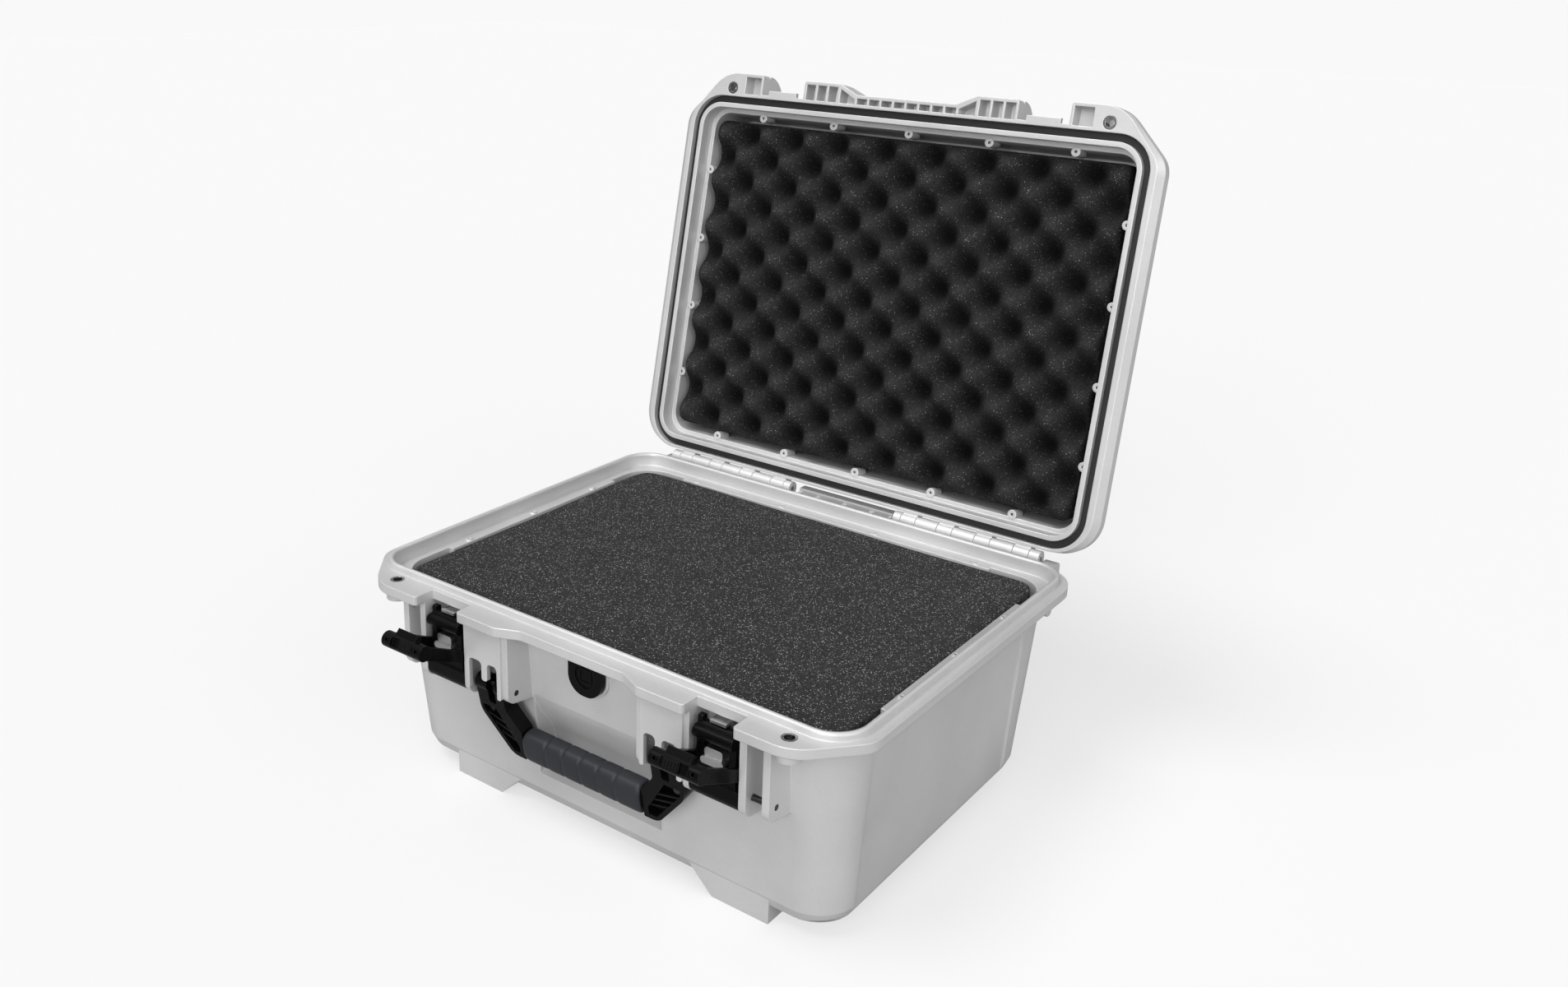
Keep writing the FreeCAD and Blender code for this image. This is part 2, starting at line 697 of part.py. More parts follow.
def lid_foam():
    """Egg-crate foam: a block whose open side waves as cosine along X times cosine along Y."""
    half_long, half_wide = number(tongue_long - 18.6), number(tongue_wide - 19.6)
    middle, swing = number(crest) + 15, 13
    across, along = 70, 56
    poles = []
    for i in range(across + 1):
        x = half_long * (2 * i / across - 1)
        row = []
        for j in range(along + 1):
            y = half_wide * (2 * j / along - 1)
            wave = math.cos(2 * math.pi * x / foam_pitch_long) * math.cos(2 * math.pi * y / foam_pitch_wide)
            row.append(Vector(x, y, middle - swing * wave))
        poles.append(row)
    surface = Part.BSplineSurface()
    spans = [count - 2 for count in (across, along)]
    mults = [[4] + [1] * (span - 1) + [4] for span in spans]
    knots = [list(range(span + 1)) for span in spans]
    surface.buildFromPolesMultsKnots(poles, *mults, *knots, False, False, 3, 3)
    deep = surface.toShape().extrude(Vector(0, 0, 80))
    back = number(lid_top - lid_wall) - 0.4
    keep = Part.makeBox(2 * half_long, 2 * half_wide, 200, Vector(-half_long, -half_wide, back - 200))
    keep = keep.makeFillet(14, [edge for edge in keep.Edges if abs(edge.tangentAt(0).z) > 0.9])
    foam = doc.addObject("Part::Feature", "lid_foam")
    foam.Label = "lid_foam"
    foam.Shape = deep.common(keep)
    return foam


def foam_block(label, outline, low, high):
    body = new_body(label)
    prism(body, "Z", low, high, [outline])
    return body


def build_foam():
    """Upper block level with the ledge, and a lower pad that stops behind the handle scoop."""
    split = pin_height - grip_drop + 36.5
    top = frame_outline(wall_long - wall - 6.2, wall_wide - wall - 5.8, 22)
    upper = foam_block("base_foam", top, split + foam_gap, ledge)
    room = wall_wide - scoop_depth - wall - foam_gap
    low = foot_height + wall
    base_long = wall_long - wall_draft_long - wall - foam_gap
    base_wide = wall_wide - wall_draft_wide - wall - foam_gap
    pad = foam_block("base_foam_pad", box(-base_long, base_long, -room, base_wide, 29), low + foam_gap, split)
    return [upper, pad]


def rod(label, spans, reach, height, radius):
    """Round pins along X: one solid for each span."""
    body = new_body(label)
    for span in spans:
        prism(body, "X", *span, [(reach, height, radius)])
    return body


def build_pins():
    pins = []
    for side, name in ((-1, "left"), (1, "right")):
        span = sided(side, HINGE_IN, HINGE_OUT)
        pins.append(rod(f"hinge_pin_{name}", [span], hinge_reach, hinge_height, hinge_pin_radius))
        span = sided(side, RIBS[1][0] + 2.6, RIBS[3][1])
        pins.append(rod(f"latch_pin_{name}", [span], -pin_reach, pin_height, pin_radius))
    spans = [sided(side, RIBS[0][0], RIBS[1][0] + 2.4) for side in (1, -1)]
    pins.append(rod("handle_pins", spans, -pin_reach, pin_height, pin_radius))
    return pins


def build_hinge_trim():
    """Two rails joined by posts between the hinge groups, and the cheeks that hang beside them."""
    rails = new_body("hinge_centre_rails")
    half = HINGE_IN - 6
    low, high = rim_under + 2, parting - 0.5
    prism(rails, "X", -half, half, [box(rim_back, rim_back + 1.6, low, high)])
    back_rail = box(hinge_reach + 4, hinge_reach + 14, hinge_height - 12, hinge_height + 1, 1.5)
    prism(rails, "X", -half, half, [back_rail])
    for x in (-half, half - 3):
        prism(rails, "X", x, x + 3, [box(rim_back, hinge_reach + 8, hinge_height - 11, high)])
    prism(rails, "Z", low, high, [box(x - 2, x + 2, rim_back + 1, hinge_reach + 6) for x in (-30, 0, 30)])
    cheeks = new_body("hinge_cheeks")
    plate = [
        (rim_back, parting - 1), (hinge_reach + 12, parting - 1, 4), (hinge_reach + 12, parting - 24, 12),
        (hinge_reach + 2, parting - 48, 4), (hinge_reach - 7, parting - 48, 3),
        (hinge_reach - 7, rim_under - 4), (rim_back, rim_under - 2),
    ]
    for side in (1, -1):
        prism(cheeks, "X", *sided(side, HINGE_OUT + 1, HINGE_OUT + 13), [plate])
    return [rails, cheeks]


def build_valve():
    """Purge valve: seal, body with its stem, vent disc and the nut inside the wall."""
    seal_face = valve_face + 0.8
    seal = new_body("valve_seal")
    prism(seal, "Y", -seal_face, -valve_face, [(0, valve_height, 13), (0, valve_height, valve_bore)])
    body = new_body("valve_body")
    half = 17
    plate = [
        (-half, rim_under - 0.5), (-half, valve_height - half, 15.5), (half, valve_height - half, 15.5),
        (half, rim_under - 0.5),
    ]
    prism(body, "Y", -seal_face - 5, 0 - seal_face, [plate])
    inner = wall_wide - valve_spot
    prism(body, "Y", -seal_face - 1, 4 - inner, [(0, valve_height, valve_bore)])
    prism(body, "Y", -seal_face - 6, -seal_face - 2.5, [(0, valve_height, 10)], cut=True)
    vent = new_body("valve_vent")
    prism(vent, "Y", -seal_face - 4, -seal_face - 2.5, [(0, valve_height, 10)])
    nut = new_body("valve_nut")
    hexagon = []
    for i in range(6):
        angle = math.radians(60 * i)
        hexagon.append((9.5 * math.cos(angle), valve_height + 9.5 * math.sin(angle)))
    prism(nut, "Y", 0 - inner, 3.4 - inner, [hexagon, (0, valve_height, valve_bore)])
    return [seal, body, vent, nut]


def screw_spot(side):
    """Where a screw goes through the upper end of an arm's channel: x, z."""
    return side * (prong_out - 9.5), pin_height - 24


def handle_arm(body, cuts, side):
    """Channel arm from the pivot to the grip, open to the front and ribbed inside."""
    grip = pin_height - grip_drop
    x0, x1 = prong_in, prong_out

    def flip(corners):
        return [(side * corner[0], *corner[1:]) for corner in corners]

    outer = [
        (x0, pin_height), (x0, pin_height - 18, 8), (grip_half, grip + 13), (grip_half, grip - 13),
        (grip_half + 14, grip - 13, 14), (x1, grip + 22, 16), (x1, pin_height),
    ]
    inner = [
        (x0 + 11, pin_height - 19), (grip_half + 5, grip - 2), (grip_half + 5, grip - 9),
        (grip_half + 12.5, grip - 9), (x1 - 3.5, grip + 23.7), (x1 - 3.5, pin_height - 19),
    ]
    front, back = -pin_reach - 6.5, 6.5 - pin_reach
    prism(body, "Y", front, back, [flip(outer)])
    prism(body, "X", *sided(side, x0, x1), [(-pin_reach, pin_height, 7.5)])
    channel = new_body("handle_channel")
    prism(channel, "Y", front - 1, front + 9, [flip(inner)])
    for rise in (2, 8, 14):
        low, high = grip + rise - 4, grip + rise + 6
        rib = [(grip_half, low), (x1, high), (x1, high + 1.6), (grip_half, low + 1.6)]
        prism(channel, "Y", front + 1.5, front + 10, [flip(rib)], cut=True)
    notch = box(prong_middle - 3 - gap_side, prong_middle + 3 + gap_side, pin_height - 15, pin_height + 20, 2)
    prism(cuts, "Y", front - 4, back + 4, [flip(notch)])
    prism(channel, "Y", front + 5, front + 10, [(*screw_spot(side), 4.5)], cut=True)
    prism(cuts, "X", *sided(side, x0 - 1, x1 + 1), [(-pin_reach, pin_height, pin_radius + running)])
    prism(cuts, "Y", front + 4, front + 12, [(*screw_spot(side), 1.6)])
    return channel


def build_handle():
    grip = pin_height - grip_drop
    arms, cuts = new_body("handle_arms"), new_body("handle_cuts")
    core = box(-pin_reach - 5.5, 5.5 - pin_reach, grip - 8, grip + 8, 3)
    prism(arms, "X", -grip_half - 1, grip_half + 1, [core])
    channels = [handle_arm(arms, cuts, side) for side in (1, -1)]
    frame = less("handle_frame", arms, fused("handle_hollow", channels + [cuts]))
    sleeve = new_body("handle_grip")
    shape = box(-pin_reach - 9.5, 9.5 - pin_reach, grip - 14, grip + 14, 8.5)
    prism(sleeve, "X", -grip_half + 1.5, grip_half - 1.5, [shape, core])
    ticks = [box(x - 1.2, x + 1.2, grip - 5, grip + 5, 1) for x in (-20, -10, 0, 10, 20)]
    prism(sleeve, "Y", -pin_reach - 10.2, -pin_reach - 9, ticks)
    screws = new_body("handle_screws")
    front = -pin_reach - 6.5
    for side in (1, -1):
        prism(screws, "Y", front + 3.2, front + 5, [(*screw_spot(side), 3)])
        prism(screws, "Y", front + 4.5, front + 11, [(*screw_spot(side), 1.6)])
    return turn([frame, sleeve, screws], -pin_reach, pin_height, handle_tilt)


def latch_lever(side, name):
    """Upright lever on the base pin: rounded skirt, windowed plate, cross-bar and horns."""
    wide = sided(side, pocket_in + gap, pocket_out - gap)
    slim = sided(side, pocket_in + 5, pocket_out - 5)
    body, cuts = new_body(f"latch_lever_{name}_solid"), new_body(f"latch_lever_{name}_cuts")
    back = 1 - pin_reach
    front = back - 8
    skirt = [
        (-pin_reach - 9, pin_height + 4, 1), (-pin_reach - 9, pin_height - 13.5, 9),
        (8.5 - pin_reach, pin_height - 13.5, 8), (8.5 - pin_reach, pin_height + 4, 1),
    ]
    prism(body, "X", *wide, [skirt])
    top = cross_height + 7
    plate = [(front, pin_height), (front, top, 4), (back, top, 3), (back, pin_height)]
    prism(body, "X", *slim, [plate])
    prism(body, "X", *slim, [(-cross_reach, cross_height, 5)])
    for x0, x1 in ((pocket_in + 5, pocket_in + 9), (pocket_out - 9, pocket_out - 5)):
        horn = box(front + 1, back - 1, cross_height + 4, cross_height + 11, 2)
        prism(body, "X", *sided(side, x0, x1), [horn])
    middle = side * pocket_middle
    window = box(middle - 11.5, middle + 11.5, pin_height + 17, cross_height - 6.5, 3)
    prism(cuts, "Y", front - 5, back + 5, [window])
    prism(cuts, "X", wide[0] - 1, wide[1] + 1, [(-pin_reach, pin_height, pin_radius + running)])
    for x0, x1 in ((pocket_in + 4, pocket_in + 10), (pocket_out - 10, pocket_out - 4)):
        prism(cuts, "X", *sided(side, x0, x1), [(-bail_reach, bail_height, lever_pin_radius)])
    lever = less(f"latch_lever_{name}", body, cuts)
    plate = new_body(f"latch_plate_{name}")
    strip = [
        (middle - 13, pin_height + 21), (middle + 13, pin_height + 21),
        (middle + 13, cross_height - 3), (middle + 7, cross_height - 3),
        (middle + 7, cross_height + 10.5, 2), (middle - 7, cross_height + 10.5, 2),
        (middle - 7, cross_height - 3), (middle - 13, cross_height - 3),
    ]
    prism(plate, "Y", back, back + 2.5, [strip])
    fold = box(back - 6.5, back + 2.5, cross_height + 8, cross_height + 10.5)
    prism(plate, "X", middle - 7, middle + 7, [fold])
    prism(plate, "Y", back - 11, back + 1, [box(middle - 8, middle + 8, pin_height + 24, pin_height + 32, 3)])
    lip = box(middle - 10, middle + 10, pin_height + 19.5, pin_height + 25, 2.5)
    prism(plate, "Y", back - 13, back + 1, [lip])
    spans = [sided(side, pocket_in + 0.8, pocket_in + 10), sided(side, pocket_out - 10, pocket_out - 0.8)]
    pins = rod(f"latch_joint_pins_{name}", spans, -bail_reach, bail_height, lever_pin_radius)
    return [lever, plate, pins]


def latch_bail(side, name):
    """Swinging bail: two arms and the bar whose nose holds the lid, with its sliding lock."""
    body, cuts = new_body(f"latch_bail_{name}_solid"), new_body(f"latch_bail_{name}_cuts")
    top = bail_height + bail_length
    for x0, x1 in ((pocket_in + 0.7, pocket_in + 4.6), (pocket_out - 4.6, pocket_out - 0.7)):
        span = sided(side, x0, x1)
        prism(body, "X", *span, [(-bail_reach, bail_height, 5)])
        arm = [
            (-bail_reach - 4.5, bail_height), (-bail_reach - 5.5, top), (5.5 - bail_reach, top),
            (4.5 - bail_reach, bail_height),
        ]
        prism(body, "X", *span, [arm])
    bar = sided(side, pocket_in + 0.5, pocket_out - 0.5)
    prism(body, "X", *bar, [(-bail_reach, top, bar_radius)])
    nose = [
        (-bail_reach, top - 0.7), (10.5 - bail_reach, top - 2.5), (11.4 - bail_reach, top + 2.1),
        (-bail_reach, top + 5.4),
    ]
    prism(body, "X", *sided(side, pocket_middle - 11, pocket_middle + 11), [nose])
    slot = sided(side, pocket_middle - 12, pocket_middle + 12)
    deck = top + bar_radius - 3
    prism(cuts, "Z", deck, top + 20, [box(*slot, -bail_reach - 4, 4 - bail_reach, 1)])
    for end in (bar[0] + 5, bar[1] - 5):
        prism(cuts, "Z", top - 20, top + 20, [(end, -bail_reach, 1.6)])
    prism(cuts, "X", bar[0] - 1, bar[1] + 1, [(-bail_reach, bail_height, lever_pin_radius + running)])
    bail = less(f"latch_bail_{name}", body, cuts)
    lock = new_body(f"latch_lock_{name}")
    left, right = sided(side, pocket_middle - 12 + gap, pocket_middle + 4)
    prism(lock, "Z", deck + 0.05, deck + 2, [box(left, right, gap - bail_reach - 4, 4 - gap - bail_reach, 1)])
    starts = [left + 2 + 2.6 * i for i in range(5)]
    ridges = [box(start, start + 1.4, -bail_reach - 3, 3 - bail_reach) for start in starts]
    prism(lock, "Z", deck + 1.5, deck + 2.7, ridges)
    return turn([bail, lock], -bail_reach, bail_height, bail_open)


def build_latches():
    pieces = []
    for side, name in ((-1, "left"), (1, "right")):
        pieces += latch_lever(side, name) + latch_bail(side, name)
    return pieces


nodes = build_base() + build_lid() + build_foam() + build_pins()
nodes.append(eyelets("padlock_eyelets_base", rim_under - 8, parting))
nodes += build_hinge_trim() + build_valve() + build_handle() + build_latches()
for node in nodes:
    to_frame = FreeCAD.Placement(Vector(0, -number(frame_shift), 0), FreeCAD.Rotation())
    node.Placement = to_frame * node.Placement
doc.recompute()

for item in doc.Objects:
    if "Invalid" in item.State or "Error" in item.State:
        raise RuntimeError(f"{item.Label} did not build: {item.State}")
os.makedirs("parts", exist_ok=True)
for node in nodes:
    if node.Shape.isNull() or not node.Shape.isValid():
        raise RuntimeError(f"{node.Label} has no sound shape")
    node.Shape.exportStep(f"parts/{node.Label}.step")
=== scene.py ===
import json
import math

import bpy
import numpy as np
from mathutils import Euler, Matrix, Vector


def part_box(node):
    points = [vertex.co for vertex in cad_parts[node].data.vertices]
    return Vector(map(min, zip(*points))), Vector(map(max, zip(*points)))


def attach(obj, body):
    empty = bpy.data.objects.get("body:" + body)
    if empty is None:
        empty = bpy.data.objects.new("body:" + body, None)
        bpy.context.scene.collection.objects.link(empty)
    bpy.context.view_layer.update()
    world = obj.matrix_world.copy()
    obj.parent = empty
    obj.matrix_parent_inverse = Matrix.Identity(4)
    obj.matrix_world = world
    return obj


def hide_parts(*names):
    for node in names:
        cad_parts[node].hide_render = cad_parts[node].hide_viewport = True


# Looks of the hard case: silver moulded shells, black latches and handle, foam in base and lid.
# Lengths are metres in the frame of the CAD model: X along the hinge, Y from handle to hinge, Z up.

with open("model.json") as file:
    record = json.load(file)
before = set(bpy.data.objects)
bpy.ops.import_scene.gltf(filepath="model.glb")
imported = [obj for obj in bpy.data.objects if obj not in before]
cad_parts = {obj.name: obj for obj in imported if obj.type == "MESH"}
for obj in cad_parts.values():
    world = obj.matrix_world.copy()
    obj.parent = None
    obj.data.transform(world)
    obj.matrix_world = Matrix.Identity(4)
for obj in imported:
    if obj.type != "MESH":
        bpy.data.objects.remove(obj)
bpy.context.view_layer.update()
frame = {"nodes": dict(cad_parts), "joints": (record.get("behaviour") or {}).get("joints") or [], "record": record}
nodes = frame["nodes"]
joints = {joint["name"]: joint for joint in frame["joints"]}

MM = 0.001
HINGE = Vector(joints["lid_hinge"]["pos_m"])
LID_OPEN = math.radians(joints["lid_hinge"]["range_deg"][1])
# Middle of the lid's plan in Y when it is shut, and the top of the sealing tongue
MIDDLE_Y = -0.0405
CREST = 0.190


# Shader building

# Places of share, first and second colour, and of the result, on a node that mixes colours
MIX_INPUTS, MIX_RESULT = (0, 6, 7), 2


class Shade:
    """A node tree with short calls: add places a node, link joins sockets, math chains numbers."""

    def __init__(self, tree):
        self.tree = tree
        self.tree.nodes.clear()

    def add(self, kind, **settings):
        node = self.tree.nodes.new("ShaderNode" + kind)
        for key, value in settings.items():
            setattr(node, key, value)
        return node

    def link(self, source, target):
        self.tree.links.new(source, target)

    def put(self, socket, value):
        """Links another socket to this one, or sets it to a plain value."""
        if isinstance(value, bpy.types.NodeSocket):
            self.link(value, socket)
        else:
            socket.default_value = value

    def feed(self, node, **inputs):
        """Puts values on a node's inputs by name, with an underscore for each space."""
        for key, value in inputs.items():
            self.put(node.inputs[key.replace("_", " ")], value)
        return node

    def math(self, operation, *values):
        node = self.add("Math", operation=operation)
        for socket, value in zip(node.inputs, values):
            self.put(socket, value)
        return node.outputs[0]

    def weigh(self, first, share, second):
        """The first number by its share plus the second by the rest."""
        return self.math("ADD", self.math("MULTIPLY", first, share), self.math("MULTIPLY", second, 1 - share))

    def stretch(self, value, low, high, to_low=0.0, to_high=1.0):
        """Moves a number from one range to another and holds it there."""
        node = self.add("MapRange")
        self.feed(node, Value=value, From_Min=low, From_Max=high, To_Min=to_low, To_Max=to_high)
        return node.outputs["Result"]

    def noise(self, place, scale, detail, rough):
        node = self.add("TexNoise")
        self.feed(node, Vector=place, Scale=scale, Detail=detail, Roughness=rough)
        return node.outputs["Fac"]

    def mix(self, share, first, second, blend="MIX"):
        node = self.add("Mix", data_type="RGBA", blend_type=blend)
        for place, value in zip(MIX_INPUTS, (share, first, second)):
            self.put(node.inputs[place], value)
        return node.outputs[MIX_RESULT]


def grey(value):
    return (value, value, value, 1)


def new_group(name, inputs, outputs):
    """An empty shader node group with number inputs and named outputs."""
    tree = bpy.data.node_groups.new(name, "ShaderNodeTree")
    shade = Shade(tree)
    for title, default in inputs.items():
        socket = tree.interface.new_socket(title, in_out="INPUT", socket_type="NodeSocketFloat")
        socket.default_value = default
    for title, kind in outputs.items():
        tree.interface.new_socket(title, in_out="OUTPUT", socket_type="NodeSocket" + kind)
    entry = tree.nodes.new("NodeGroupInput")
    leave = tree.nodes.new("NodeGroupOutput")
    return shade, entry, leave


def moulded_grain():
    """Fine spark texture of a moulded surface with soft mottling: height and tone, both about 0.5."""
    inputs = {"Grain": 900.0, "Mottle": 9.0}
    shade, entry, leave = new_group("moulded_grain", inputs, {"Height": "Float", "Tone": "Float"})
    place = shade.add("TexCoord").outputs["Object"]
    fine = shade.noise(place, entry.outputs["Grain"], detail=3.0, rough=0.6)
    broad = shade.noise(place, entry.outputs["Mottle"], detail=4.0, rough=0.55)
    shade.link(fine, leave.inputs["Height"])
    shade.link(shade.weigh(fine, 0.35, broad), leave.inputs["Tone"])
    return shade.tree


def edge_round():
    """Normal rounded over sharp edges, and a mask of those edges from the cosine of how far it turns, for painted
    highlights on them.
    """
    inputs = {"Radius": 0.8 * MM}
    shade, entry, leave = new_group("edge_round", inputs, {"Normal": "Vector", "Edge": "Float"})
    mask_starts, mask_full = 0.995, 0.85
    bevel = shade.add("Bevel", samples=6)
    shade.link(entry.outputs["Radius"], bevel.inputs["Radius"])
    flat = shade.add("NewGeometry").outputs["Normal"]
    turn = shade.add("VectorMath", operation="DOT_PRODUCT")
    shade.link(bevel.outputs["Normal"], turn.inputs[0])
    shade.link(flat, turn.inputs[1])
    shade.link(shade.stretch(turn.outputs["Value"], mask_starts, mask_full), leave.inputs["Edge"])
    shade.link(bevel.outputs["Normal"], leave.inputs["Normal"])
    return shade.tree


def foam_cells():
    """Open-cell foam: distance from each cell's middle as height, a tone, and rare bright cells as painted glints.
    """
    inputs = {"Cells": 850.0, "Glints": 0.1}
    outputs = {"Height": "Float", "Glint": "Float", "Tone": "Float"}
    shade, entry, leave = new_group("foam_cells", inputs, outputs)
    core_edge, core_middle = 0.55, 0.1
    place = shade.add("TexCoord").outputs["Object"]
    cells = shade.add("TexVoronoi")
    shade.feed(cells, Vector=place, Scale=entry.outputs["Cells"])
    chance = shade.add("SeparateColor")
    shade.link(cells.outputs["Color"], chance.inputs[0])
    limit = shade.math("SUBTRACT", 1.0, entry.outputs["Glints"])
    over = shade.math("SUBTRACT", chance.outputs[0], limit)
    glint = shade.math("DIVIDE", shade.math("MAXIMUM", over, 0.0), entry.outputs["Glints"])
    core = shade.stretch(cells.outputs["Distance"], core_edge, core_middle)
    shade.link(shade.math("MULTIPLY", glint, core), leave.inputs["Glint"])
    shade.link(cells.outputs["Distance"], leave.inputs["Height"])
    broad = shade.noise(place, 60.0, detail=4.0, rough=0.6)
    shade.link(shade.weigh(chance.outputs[1], 0.6, broad), leave.inputs["Tone"])
    return shade.tree


GRAIN, EDGES, CELLS = moulded_grain(), edge_round(), foam_cells()

# Spans of the grain's tone that colour and roughness follow, and the share of the edge tone, a painted highlight,
# on an edge
COLOUR_SPAN, ROUGH_SPAN = (0.35, 0.65), (0.3, 0.7)
EDGE_HIGHLIGHT_SHARE = 0.75


def grouped(shade, tree, **inputs):
    """A node that uses one of the groups."""
    node = shade.add("Group", node_tree=tree)
    return shade.feed(node, **inputs)


def start_material(name, **constants):
    """A material with a Principled shader; constants go straight on its sockets."""
    material = bpy.data.materials.new(name)
    material.use_nodes = True
    shade = Shade(material.node_tree)
    surface = shade.add("BsdfPrincipled")
    output = shade.add("OutputMaterial")
    shade.link(surface.outputs[0], output.inputs["Surface"])
    shade.feed(surface, **constants)
    return material, shade, surface


def add_relief(shade, surface, texture, strength, depth, edges=None):
    """Bump from a texture's height, on top of rounded edges where they are given."""
    relief = shade.add("Bump")
    shade.feed(relief, Strength=strength, Distance=depth, Height=texture.outputs["Height"])
    if edges is not None:
        shade.link(edges.outputs["Normal"], relief.inputs["Normal"])
    shade.link(relief.outputs[0], surface.inputs["Normal"])


def moulded(name, dark, light, grain, bump, rough, edge_tone, edge_size, **constants):
    """Moulded plastic or rubber: grain in bump, tone and roughness, with painted highlights on its rounded edges.
    """
    material, shade, surface = start_material(name, **constants)
    texture = grouped(shade, GRAIN, Grain=grain)
    edges = grouped(shade, EDGES, Radius=edge_size)
    body = shade.mix(shade.stretch(texture.outputs["Tone"], *COLOUR_SPAN), dark, light)
    # Painted highlight: the edge mask lightens the colour towards the edge tone
    colour = shade.mix(shade.math("MULTIPLY", edges.outputs["Edge"], EDGE_HIGHLIGHT_SHARE), body, edge_tone)
    shade.link(colour, surface.inputs["Base Color"])
    shade.link(shade.stretch(texture.outputs["Tone"], *ROUGH_SPAN, *rough), surface.inputs["Roughness"])
    add_relief(shade, surface, texture, bump, 0.15 * MM, edges)
    return material


def metal(name, tone, rough):
    """Plated or cast metal with fine cloudy wear."""
    material, shade, surface = start_material(name, Metallic=1.0)
    texture = grouped(shade, GRAIN, Grain=1600.0, Mottle=120.0)
    edges = grouped(shade, EDGES, Radius=0.4 * MM)
    worn = (tone * 0.8, tone * 0.8, tone * 0.82, 1)
    shade.link(shade.mix(texture.outputs["Tone"], worn, grey(tone)), surface.inputs["Base Color"])
    shade.link(shade.stretch(texture.outputs["Tone"], *ROUGH_SPAN, *rough), surface.inputs["Roughness"])
    add_relief(shade, surface, texture, 0.15, 0.05 * MM, edges)
    return material


def foam(name, dark, light, glint, share, cells, pits=1.0):
    """Matte open-cell foam with painted glints on a share of its cells.

    The first number of its UV map is 0 in pits and 1 on crests, and it paints shade into the pits: pits keep their
    own share of the tone."""
    material, shade, surface = start_material(name, Roughness=0.95, Specular_IOR_Level=0.1)
    texture = grouped(shade, CELLS, Cells=cells, Glints=share)
    body = shade.mix(texture.outputs["Tone"], dark, light)
    # Painted glints: bright cells laid over the foam's colour
    painted_glint_colour = shade.mix(texture.outputs["Glint"], body, glint)
    height = shade.add("SeparateXYZ")
    shade.link(shade.add("TexCoord").outputs["UV"], height.inputs[0])
    # Painted shade: the pits of the foam are darkened by their depth
    painted_pit_shade = shade.stretch(height.outputs["X"], 0.0, 1.0, pits, 1.0)
    shade.link(shade.mix(1.0, painted_glint_colour, painted_pit_shade, "MULTIPLY"), surface.inputs["Base Color"])
    add_relief(shade, surface, texture, 0.6, 0.5 * MM)
    return material


# Edge tones are painted highlights on the rounded edges
MOULDED = {
    "shell_plastic": dict(
        dark=grey(0.56), light=grey(0.66), grain=1100.0, bump=0.5, rough=(0.38, 0.48),
        edge_tone=grey(0.82), edge_size=1.2 * MM, Metallic=0.35,
    ),
    "black_plastic": dict(
        dark=grey(0.0018), light=grey(0.0035), grain=1300.0, bump=0.10, rough=(0.24, 0.33),
        edge_tone=grey(0.02), edge_size=0.8 * MM, Specular_IOR_Level=0.09,
    ),
    "grip_rubber": dict(
        dark=(0.018, 0.020, 0.024, 1), light=(0.024, 0.027, 0.032, 1), grain=1500.0, bump=0.3,
        rough=(0.42, 0.55), edge_tone=(0.04, 0.043, 0.05, 1), edge_size=1.0 * MM, Specular_IOR_Level=0.3,
    ),
    "gasket_rubber": dict(
        dark=grey(0.009), light=grey(0.014), grain=1500.0, bump=0.2, rough=(0.5, 0.65),
        edge_tone=grey(0.02), edge_size=0.6 * MM,
    ),
}
METALS = {
    "steel": dict(tone=0.42, rough=(0.2, 0.32)),
    "dark_steel": dict(tone=0.08, rough=(0.3, 0.4)),
    "zinc": dict(tone=0.58, rough=(0.28, 0.4)),
}
FOAMS = {
    "base_foam": dict(
        dark=grey(0.012), light=grey(0.062), glint=grey(1.0), share=0.18, cells=1100.0,
    ),
    "lid_foam": dict(
        # Pits of the lid foam keep this share of their tone as painted shade
        dark=grey(0.010), light=grey(0.050), glint=grey(0.7), share=0.05, cells=1300.0, pits=0.12,
    ),
}
MATERIALS = {}
for make, table in ((moulded, MOULDED), (metal, METALS), (foam, FOAMS)):
    for slot, settings in table.items():
        MATERIALS[slot] = make(slot, **settings)


# Mesh building

# Painted shade on the sides of a block: their tone against the tone at the edge of its bottom
SIDE_PAINTED_SHADE = 0.5
# Least distance to divide by
LEAST = 1e-9


def put_mesh(name, points, faces, slot, smooth=True, painted_shade=None):
    """A mesh object at the origin with one material, from whole arrays of points and quads.

    Tones of painted shade, one number for each point, go into its UV map."""
    mesh = bpy.data.meshes.new(name)
    mesh.from_pydata(points.reshape(-1, 3).tolist(), [], faces.tolist())
    mesh.polygons.foreach_set("use_smooth", np.full(len(mesh.polygons), smooth))
    mesh.materials.append(MATERIALS[slot])
    if painted_shade is not None:
        corners = faces.reshape(-1)
        layer = mesh.uv_layers.new(name="tone")
        layer.data.foreach_set("uv", np.stack([painted_shade[corners], np.zeros(len(corners))], -1).reshape(-1))
    mesh.update()
    piece = bpy.data.objects.new(name, mesh)
    bpy.context.scene.collection.objects.link(piece)
    return piece


def grid_faces(rows, columns, offset=0):
    """Quads of a grid of rows by columns, wound so that a height field faces up."""
    index = offset + np.arange(rows * columns).reshape(rows, columns)
    return np.stack([index[:-1, :-1], index[1:, :-1], index[1:, 1:], index[:-1, 1:]], -1).reshape(-1, 4)


def border(rows, columns):
    """Indices round the edge of a grid, counter-clockwise seen from above."""
    index = np.arange(rows * columns).reshape(rows, columns)
    return np.concatenate([index[:-1, 0], index[-1, :-1], index[:0:-1, -1], index[0, :0:-1]])


